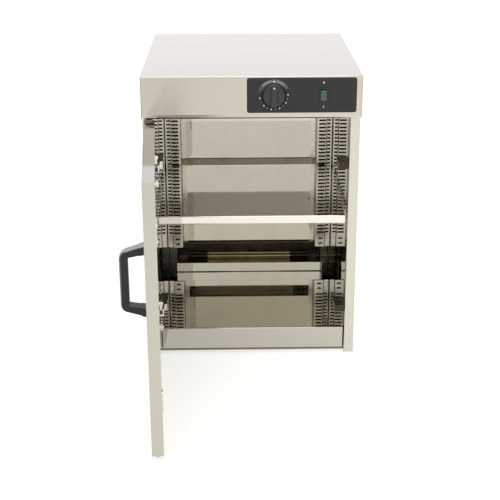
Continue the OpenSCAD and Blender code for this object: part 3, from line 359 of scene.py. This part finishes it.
STEEL = rgb(0.505, 0.495, 0.432)
OUTSIDE = rgb(0.43, 0.42, 0.38)
LINER = rgb(0.52, 0.50, 0.445)
FINISH = {
    # The door's top face is painted darker than its front, as shade.
    "brushed_front": brushed(
        "brushed_front", STEEL, 2, 0.05, contrast=0.02, bump=0.05, smudge=0.03,
        sides=[(*TOP, rgb(0.375, 0.37, 0.352))],
    ),
    # The hood is painted as lit and shaded copies of one sheet: a darker top and a lighter
    # underside.
    "brushed_top": brushed(
        "brushed_top", rgb(0.525, 0.495, 0.43), 2, 0.16, contrast=0.02, bump=0.1,
        sides=[(*TOP, rgb(0.455, 0.432, 0.43)), (*UNDER, rgb(0.64, 0.61, 0.54))],
    ),
    # The side panels are painted as lit and shaded copies of one sheet: lighter front jambs and
    # darker outer faces.
    "brushed_side": brushed(
        "brushed_side", rgb(0.56, 0.545, 0.475), 2, 0.26, contrast=0.02, bump=0.1,
        sides=[(*LEFT, OUTSIDE), (*RIGHT, OUTSIDE)],
    ),
    "brushed_back": brushed("brushed_back", rgb(0.48, 0.48, 0.465), 2, 0.38, contrast=0.04),
    # The base pan is painted dark, as the shade under the cabinet.
    "brushed_base": brushed("brushed_base", rgb(0.16, 0.155, 0.14), 0, 0.5),
    "mirror": polished("polished_liner", LINER, 0.012),
    # The side liners are the liner's steel painted darker, as shade.
    "mirror_side": polished("polished_side", rgb(0.36, 0.35, 0.32), 0.02),
    # The pan's front lip is painted as a darker copy of the liner's steel, as shade.
    "mirror_pan": polished(
        "polished_pan", LINER, 0.012, sides=[(*FRONT, rgb(0.47, 0.45, 0.395))]
    ),
    # The door's inner skin is the liner's steel painted darker, as shade.
    "mirror_door": polished("polished_door", rgb(0.36, 0.345, 0.31), 0.02),
    "mirror_column": polished("polished_column", rgb(0.60, 0.58, 0.52), 0.14),
    # The shelf's front lip and underside are painted lighter than its top, as light.
    "mirror_shelf": polished(
        "polished_shelf", rgb(0.485, 0.465, 0.415), 0.014,
        sides=[(*FRONT, rgb(0.72, 0.70, 0.63)), (*UNDER, rgb(0.73, 0.70, 0.61))],
    ),
    "plated": plated("plated_steel", rgb(0.66, 0.64, 0.59), 0.14),
    # The arms' tops are painted dark, as shade.
    "plated_arm": plated(
        "plated_arm", rgb(0.70, 0.68, 0.62), 0.12, sides=[(*TOP, rgb(0.10, 0.095, 0.07))]
    ),
    "dark_plated": plated("dark_plated_steel", rgb(0.045, 0.041, 0.032), 0.2),
    "dark_sheet": heat_tinted(
        "heat_tinted_sheet", rgb(0.17, 0.15, 0.11), rgb(0.13, 0.105, 0.07), 0.4
    ),
    "reflector": heat_tinted(
        "bronze_reflector", rgb(0.60, 0.54, 0.35), rgb(0.48, 0.42, 0.26), 0.16
    ),
    # The element's ends past the reflector are painted dark, as shade.
    "sheath": heat_tinted(
        "oxidised_sheath", rgb(0.42, 0.36, 0.24), rgb(0.34, 0.28, 0.17), 0.3,
        ends=rgb(0.06, 0.05, 0.04),
    ),
    "brass": plated("brass_terminals", rgb(0.30, 0.23, 0.13), 0.3),
    "copper": plated("copper_tube", rgb(0.72, 0.42, 0.28), 0.25),
    "handle": sheened("handle_plastic", rgb(0.009, 0.0088, 0.0088)),
    "black": moulded(
        "black_plastic", rgb(0.013, 0.0125, 0.0125), 0.25, bump=0.1, specular=0.35
    ),
    "knob_black": moulded("knob_plastic", rgb(0.014, 0.0138, 0.0135), 0.4),
    "fascia": moulded(
        "fascia_film", rgb(0.0198, 0.019, 0.0187), 0.4,
        grain_size=1400.0, bump=0.15, spread=0.06, specular=0.25,
    ),
    "rocker_grey": moulded("rocker_plastic", rgb(0.055, 0.052, 0.052), 0.3),
    "rubber": moulded("black_rubber", rgb(0.03, 0.03, 0.03), 0.7, grain_size=500.0, bump=0.5),
    "pale": moulded("pale_plastic", rgb(0.45, 0.445, 0.43), 0.5),
    "foam": moulded("door_foam", rgb(0.75, 0.68, 0.48), 0.9, grain_size=300.0, bump=0.8),
    "sleeve": moulded("woven_sleeve", rgb(0.06, 0.06, 0.06), 0.8, grain_size=350.0, bump=1.0),
    "white_print": moulded("white_print", rgb(0.6, 0.6, 0.59), 0.5, bump=0.1, spread=0.03),
    "light_print": moulded("light_print", rgb(0.17, 0.165, 0.165), 0.5, bump=0.1, spread=0.2),
    "shadow_black": moulded("shadow_black", rgb(0.004, 0.004, 0.004), 0.8, bump=0.1, specular=0.05),
    "lens": lens_finish("green_lens"),
    "faded_print": faded_finish(
        "faded_print", rgb(0.024, 0.0235, 0.0235), rgb(0.125, 0.116, 0.12)
    ),
}

DRESS = {
    "brushed_front": ["door_outer_skin"],
    "brushed_top": ["hood"],
    "brushed_side": ["side_panel_left", "side_panel_right"],
    "brushed_back": ["back_cover"],
    "brushed_base": ["base_pan"],
    "mirror": ["liner_top", "rear_wall", "heater_guard"],
    "mirror_side": ["liner_left", "liner_right"],
    "mirror_pan": ["floor_pan"],
    "mirror_door": ["door_inner_skin"],
    "mirror_column": ["column_left", "column_right", "shelf_bracket_left", "shelf_bracket_right"],
    "mirror_shelf": ["shelf"],
    "plated": [
        "hinge_plates", "hinge_cups", "hinge_pins", "plate_screws", "cup_screws",
        "catch_screws", "strike_plates", "strike_screws", "handle_screws", "thermostat_screws",
        "thermostat_spindle", "back_screws", "ceiling_screws", "bulb_clips", "rocker_pin",
        "safety_cutout",
    ],
    "plated_arm": ["hinge_arms"],
    "dark_plated": ["magnet_catches"],
    "dark_sheet": ["heater_tray", "element_saddles"],
    "reflector": ["reflector_plate"],
    "sheath": ["heating_element"],
    "brass": ["element_terminals"],
    "copper": ["thermostat_bulb"],
    "handle": ["handle"],
    "black": ["cable_gland", "gland_nut", "switch_housing"],
    "knob_black": ["knob"],
    "fascia": ["control_fascia"],
    "rocker_grey": ["rocker"],
    "rubber": ["feet"],
    "pale": ["door_foot", "terminal_block", "thermostat_body"],
    "foam": ["door_core"],
    "sleeve": ["wiring_loom"],
    "lens": ["rocker_lens"],
}


def dress():
    """Gives every node its finish."""
    for finish, nodes in DRESS.items():
        for node in nodes:
            slots = NODES[node].data.materials
            slots.clear()
            slots.append(FINISH[finish])


dress()


# Softened edges ----------------------------------------------------------

# Bevel widths in mm. Blender holds the handle's back where the bevels would overlap.
BEVELS = {
    0.25: ["shelf", "floor_pan", "hood", "side_panel_left", "side_panel_right"],
    0.35: ["control_fascia", "magnet_catches", "element_saddles", "heater_guard"],
    0.6: ["knob", "hinge_arms", "hinge_plates", "hinge_cups"],
    3.2: ["handle"],
}
WELD_GAP = 0.01 * MM
SHARP_ANGLE = math.radians(40)


def soften(node, width):
    """A small rounded edge wherever two faces of the node meet sharply."""
    piece = NODES[node]
    weld = piece.modifiers.new("weld", "WELD")
    weld.merge_threshold = WELD_GAP
    bevel = piece.modifiers.new("edge", "BEVEL")
    bevel.width = width * MM
    bevel.segments = 2
    bevel.limit_method = "ANGLE"
    bevel.angle_limit = SHARP_ANGLE
    bevel.harden_normals = True


for bevel_width, bevel_nodes in BEVELS.items():
    for bevel_node in bevel_nodes:
        soften(bevel_node, bevel_width)


# Printed marks -----------------------------------------------------------

fascia_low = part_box("control_fascia")[0]
knob_low, knob_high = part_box("knob")
switch_low, switch_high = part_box("switch_housing")
knob_centre = (knob_low + knob_high) / 2
switch_centre = (switch_low + switch_high) / 2

# Marks stand on the fascia's front face. A whole mark is PRINT thick, and an arc a share of that,
# so that what lies on another mark covers it.
PRINT_Y = fascia_low.y
PRINT = 0.12 * MM
ARC_HEIGHT = 0.5
RIM_HEIGHT = 0.75

# The dial, by degrees clockwise from the top: six dots, a small one between each two, one on top.
DIAL_R = 25.4 * MM
DOT_FIRST = 86
DOT_STEP = 34.8
DOTS = [DOT_FIRST + DOT_STEP * i for i in range(6)]
DOT_R = 1.3 * MM
SMALL_DOT_R = 0.6 * MM
TOP_DOT_R = 1.6 * MM
SMALL_DOT_IN = 0.3 * MM

# Arcs round the knob: from and to in degrees, and how far they reach in and out from the dial's
# circle, or from the knob's edge for the painted shadow ring.
ARC_STEPS = 40
BAND_FROM, BAND_TO = -80, 62
BAND_IN, BAND_OUT = 2.6 * MM, 4.2 * MM
RIM_IN = 0.8 * MM
RIMS = [(-48, -11, 3.2 * MM), (11, 40, 2.6 * MM)]
SHADOW_IN, SHADOW_OUT = 1.0 * MM, 1.2 * MM

# Places over and under the middle of the switch and of the knob.
SWITCH_DOT_UP = 22 * MM
SWITCH_DOT_R = 1.5 * MM
SWITCH_BAR_LOW, SWITCH_BAR_HIGH = -24 * MM, -20 * MM
SWITCH_BAR_HALF_W = 0.5 * MM
KNOB_DOT_UP = 16.9 * MM
KNOB_DOT_R = 1.4 * MM


def printed(name, finish, mesh, body):
    """Turns the mesh into a piece that rides on the body."""
    piece = bpy.data.objects.new(name, bpy.data.meshes.new(name))
    bpy.context.scene.collection.objects.link(piece)
    piece.data.materials.append(FINISH[finish])
    bmesh.ops.recalc_face_normals(mesh, faces=mesh.faces)
    mesh.to_mesh(piece.data)
    mesh.free()
    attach(piece, body)


def raised_outline(mesh, outline, y_back, y_front):
    """A closed prism of an (x, z) outline between two depths."""
    back = [mesh.verts.new((x, y_back, z)) for x, z in outline]
    front = [mesh.verts.new((x, y_front, z)) for x, z in outline]
    mesh.faces.new(back)
    mesh.faces.new(front)
    for i in range(len(outline)):
        j = (i + 1) % len(outline)
        mesh.faces.new((back[i], back[j], front[j], front[i]))


def disc(x, z, r, steps=20):
    return [
        (x + r * math.cos(math.tau * i / steps), z + r * math.sin(math.tau * i / steps))
        for i in range(steps)
    ]


def on_dial(angle, r):
    """A point at radius r round the knob, angle in degrees clockwise from the top."""
    a = math.radians(angle)
    return knob_centre.x + r * math.sin(a), knob_centre.z + r * math.cos(a)


def arc_band(mesh, start, stop, r_in, r_out, steps=ARC_STEPS, height=ARC_HEIGHT):
    """A flat ring sector on the fascia, round the knob, at a share of the print's thickness."""
    angles = [start + (stop - start) * i / steps for i in range(steps + 1)]
    outline = [on_dial(a, r_out) for a in angles] + [on_dial(a, r_in) for a in reversed(angles)]
    raised_outline(mesh, outline, PRINT_Y, PRINT_Y - PRINT * height)


def dial_dot(mesh, angle, inward, r, steps=20):
    """A dot on the dial, set inward from its circle."""
    x, z = on_dial(angle, DIAL_R - inward)
    raised_outline(mesh, disc(x, z, r, steps), PRINT_Y, PRINT_Y - PRINT)


def dial_marks():
    mesh = bmesh.new()
    for angle in DOTS:
        dial_dot(mesh, angle, 0, DOT_R)
    for angle in DOTS[:-1]:
        dial_dot(mesh, angle + DOT_STEP / 2, SMALL_DOT_IN, SMALL_DOT_R, 10)
    dial_dot(mesh, 0, 0, TOP_DOT_R)
    printed("dial_marks", "white_print", mesh, "cabinet")


def dial_band():
    """The grey arc over the knob."""
    mesh = bmesh.new()
    arc_band(mesh, BAND_FROM, BAND_TO, DIAL_R - BAND_IN, DIAL_R + BAND_OUT)
    printed("dial_band", "faded_print", mesh, "cabinet")


def dial_rim():
    """The lighter parts of the arc, on both sides of the top dot."""
    mesh = bmesh.new()
    for start, stop, out in RIMS:
        arc_band(mesh, start, stop, DIAL_R - RIM_IN, DIAL_R + out, ARC_STEPS // 2, RIM_HEIGHT)
    printed("dial_rim", "light_print", mesh, "cabinet")


def knob_shadow():
    """A painted shadow: a dark ring round the knob's skirt on the fascia, in two halves."""
    mesh = bmesh.new()
    knob_r = (knob_high.x - knob_low.x) / 2
    for start in (0, 180):
        arc_band(mesh, start, start + 180, knob_r - SHADOW_IN, knob_r + SHADOW_OUT)
    printed("knob_shadow", "shadow_black", mesh, "cabinet")


def switch_marks():
    """A dot above the switch and a short bar below it."""
    mesh = bmesh.new()
    x, z = switch_centre.x, switch_centre.z
    dot = disc(x, z + SWITCH_DOT_UP, SWITCH_DOT_R)
    raised_outline(mesh, dot, PRINT_Y, PRINT_Y - PRINT)
    left, right = x - SWITCH_BAR_HALF_W, x + SWITCH_BAR_HALF_W
    low, high = z + SWITCH_BAR_LOW, z + SWITCH_BAR_HIGH
    bar = [(left, low), (right, low), (right, high), (left, high)]
    raised_outline(mesh, bar, PRINT_Y, PRINT_Y - PRINT)
    printed("switch_marks", "white_print", mesh, "cabinet")


def knob_dot():
    """The white pointer dot on the knob's face."""
    mesh = bmesh.new()
    face_y = knob_low.y
    outline = disc(knob_centre.x, knob_centre.z + KNOB_DOT_UP, KNOB_DOT_R)
    raised_outline(mesh, outline, face_y, face_y - PRINT)
    printed("knob_dot", "white_print", mesh, "thermostat_knob")


dial_marks()
dial_band()
dial_rim()
knob_shadow()
switch_marks()
knob_dot()


# Studio ------------------------------------------------------------------

FLOOR_Z = CAD_BOX[0].z
FLOOR_DROP = 0.2 * MM
FLOOR_HALF = 6.0

# The floor's glow ends over this strip just inside the base pan's edge, so the gap under the
# cabinet stays dark. It is a little weaker on the left than on the right.
GLOW_EDGE = (12 * MM, 4 * MM)
GLOW_LEFT, GLOW_RIGHT = 0.66, 0.82
GLOW_REACH = 0.2

# Brightness of the surround overhead, and what it gains low behind and low in front. Each gain
# comes in over a range of the direction's Y or Z.
SKY = 0.95
SKY_BEHIND = 0.35
SKY_IN_FRONT = 0.75
LOW_Z = (0.6, 0.3)
BEHIND_Y = (0.2, 0.7)
IN_FRONT_Y = (-0.3, -0.8)

LIGHT_TARGET = Vector((0, 0, -0.3))


def studio_floor():
    """A pale table top, lit evenly from within except where the cabinet stands on it."""
    made, t = material("studio_floor")
    pan_low, pan_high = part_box("base_pan")
    half_w = pan_high.x
    half_d = -pan_low.y
    speckle = t.noise((3.0, 3.0, 3.0), detail=2.0)
    x, y = t.spot()[:2]
    aside, ahead = (
        t.fit(t.math("ABSOLUTE", place), half - GLOW_EDGE[0], half - GLOW_EDGE[1], 0.0, 1.0)
        for place, half in ((x, half_w), (y, half_d))
    )
    clear = t.math("MAXIMUM", aside, ahead)
    glow = t.fit(x, -GLOW_REACH, GLOW_REACH, GLOW_LEFT, GLOW_RIGHT)
    surface(t, {
        "Base Color": t.mix(speckle, rgb(0.32, 0.32, 0.317), rgb(0.34, 0.34, 0.337)),
        "Roughness": 0.7,
        "Specular IOR Level": 0.2,
        "Emission Color": rgb(1.0, 0.985, 0.95),
        "Emission Strength": t.math("MULTIPLY", clear, glow),
    })
    mesh = bpy.data.meshes.new("studio_floor")
    half = FLOOR_HALF
    corners = [(-half, -half), (half, -half), (half, half), (-half, half)]
    mesh.from_pydata([(x, y, FLOOR_Z - FLOOR_DROP) for x, y in corners], [], [(0, 1, 2, 3)])
    mesh.materials.append(made)
    piece = bpy.data.objects.new("studio_floor", mesh)
    bpy.context.scene.collection.objects.link(piece)


def studio_world():
    """A white surround, brighter low behind the cabinet and in front of it than overhead."""
    world = bpy.data.worlds.new("studio")
    world.use_nodes = True
    bpy.context.scene.world = world
    t = Tree(world.node_tree)
    coordinates = t.node("ShaderNodeTexCoord")
    split = t.node("ShaderNodeSeparateXYZ", {0: coordinates.outputs["Generated"]})
    y, z = split.outputs[1], split.outputs[2]
    low = t.fit(z, *LOW_Z, 0.0, 1.0)
    back = t.math("MULTIPLY", t.fit(y, *BEHIND_Y, 0.0, 1.0), SKY_BEHIND)
    front = t.math("MULTIPLY", t.fit(y, *IN_FRONT_Y, 0.0, 1.0), SKY_IN_FRONT)
    lift = t.math("MULTIPLY", t.math("ADD", back, front), low)
    strength = t.math("ADD", lift, SKY)
    background = t.node("ShaderNodeBackground", {0: rgb(1.0, 0.99, 0.97), 1: strength})
    out = t.node("ShaderNodeOutputWorld")
    t.tree.links.new(background.outputs[0], out.inputs[0])


def softbox(name, place, size, power):
    """A square area light that points at about the cabinet's middle, in metres and watts."""
    data = bpy.data.lights.new(name, "AREA")
    data.shape = "RECTANGLE"
    data.size = data.size_y = size
    data.energy = power
    made = bpy.data.objects.new(name, data)
    made.location = place
    made.rotation_mode = "QUATERNION"
    made.rotation_quaternion = (LIGHT_TARGET - Vector(place)).to_track_quat("-Z", "Y")
    bpy.context.scene.collection.objects.link(made)


studio_floor()
studio_world()
softbox("top_softbox", (0.0, -0.3, 1.9), 2.6, 40)
softbox("left_softbox", (-2.2, -1.2, 1.1), 1.4, 14)


# Camera ------------------------------------------------------------------

# Fitted to the straight edges of the cabinet: place in millimetres from the middle of the top,
# angles in degrees, and the focal length as a share of the frame's width.
CAMERA_PLACE = Vector((-35.16, -2176.11, 404.52)) * MM
CAMERA_PITCH = 20.67
CAMERA_YAW = 0.92
CAMERA_ROLL = 0.17
FOCAL_SHARE = 1102.5 / 500
SENSOR = 36.0
CLIP_NEAR, CLIP_FAR = 0.05, 40


def make_camera():
    data = bpy.data.cameras.new("camera")
    data.sensor_width = SENSOR
    data.lens = FOCAL_SHARE * SENSOR
    data.clip_start = CLIP_NEAR
    data.clip_end = CLIP_FAR
    made = bpy.data.objects.new("camera", data)
    turn = (
        Matrix.Rotation(math.radians(-CAMERA_YAW), 4, "Z")
        @ Matrix.Rotation(math.radians(90 - CAMERA_PITCH), 4, "X")
        @ Matrix.Rotation(math.radians(-CAMERA_ROLL), 4, "Z")
    )
    made.matrix_world = Matrix.Translation(CAMERA_PLACE) @ turn
    bpy.context.scene.collection.objects.link(made)
    bpy.context.scene.camera = made


make_camera()
bpy.context.scene.view_settings.view_transform = "Standard"

# The polished walls, shelf and door face one another, so light needs many mirror bounces inside.
bpy.context.scene.cycles.max_bounces = 18
bpy.context.scene.cycles.glossy_bounces = 14
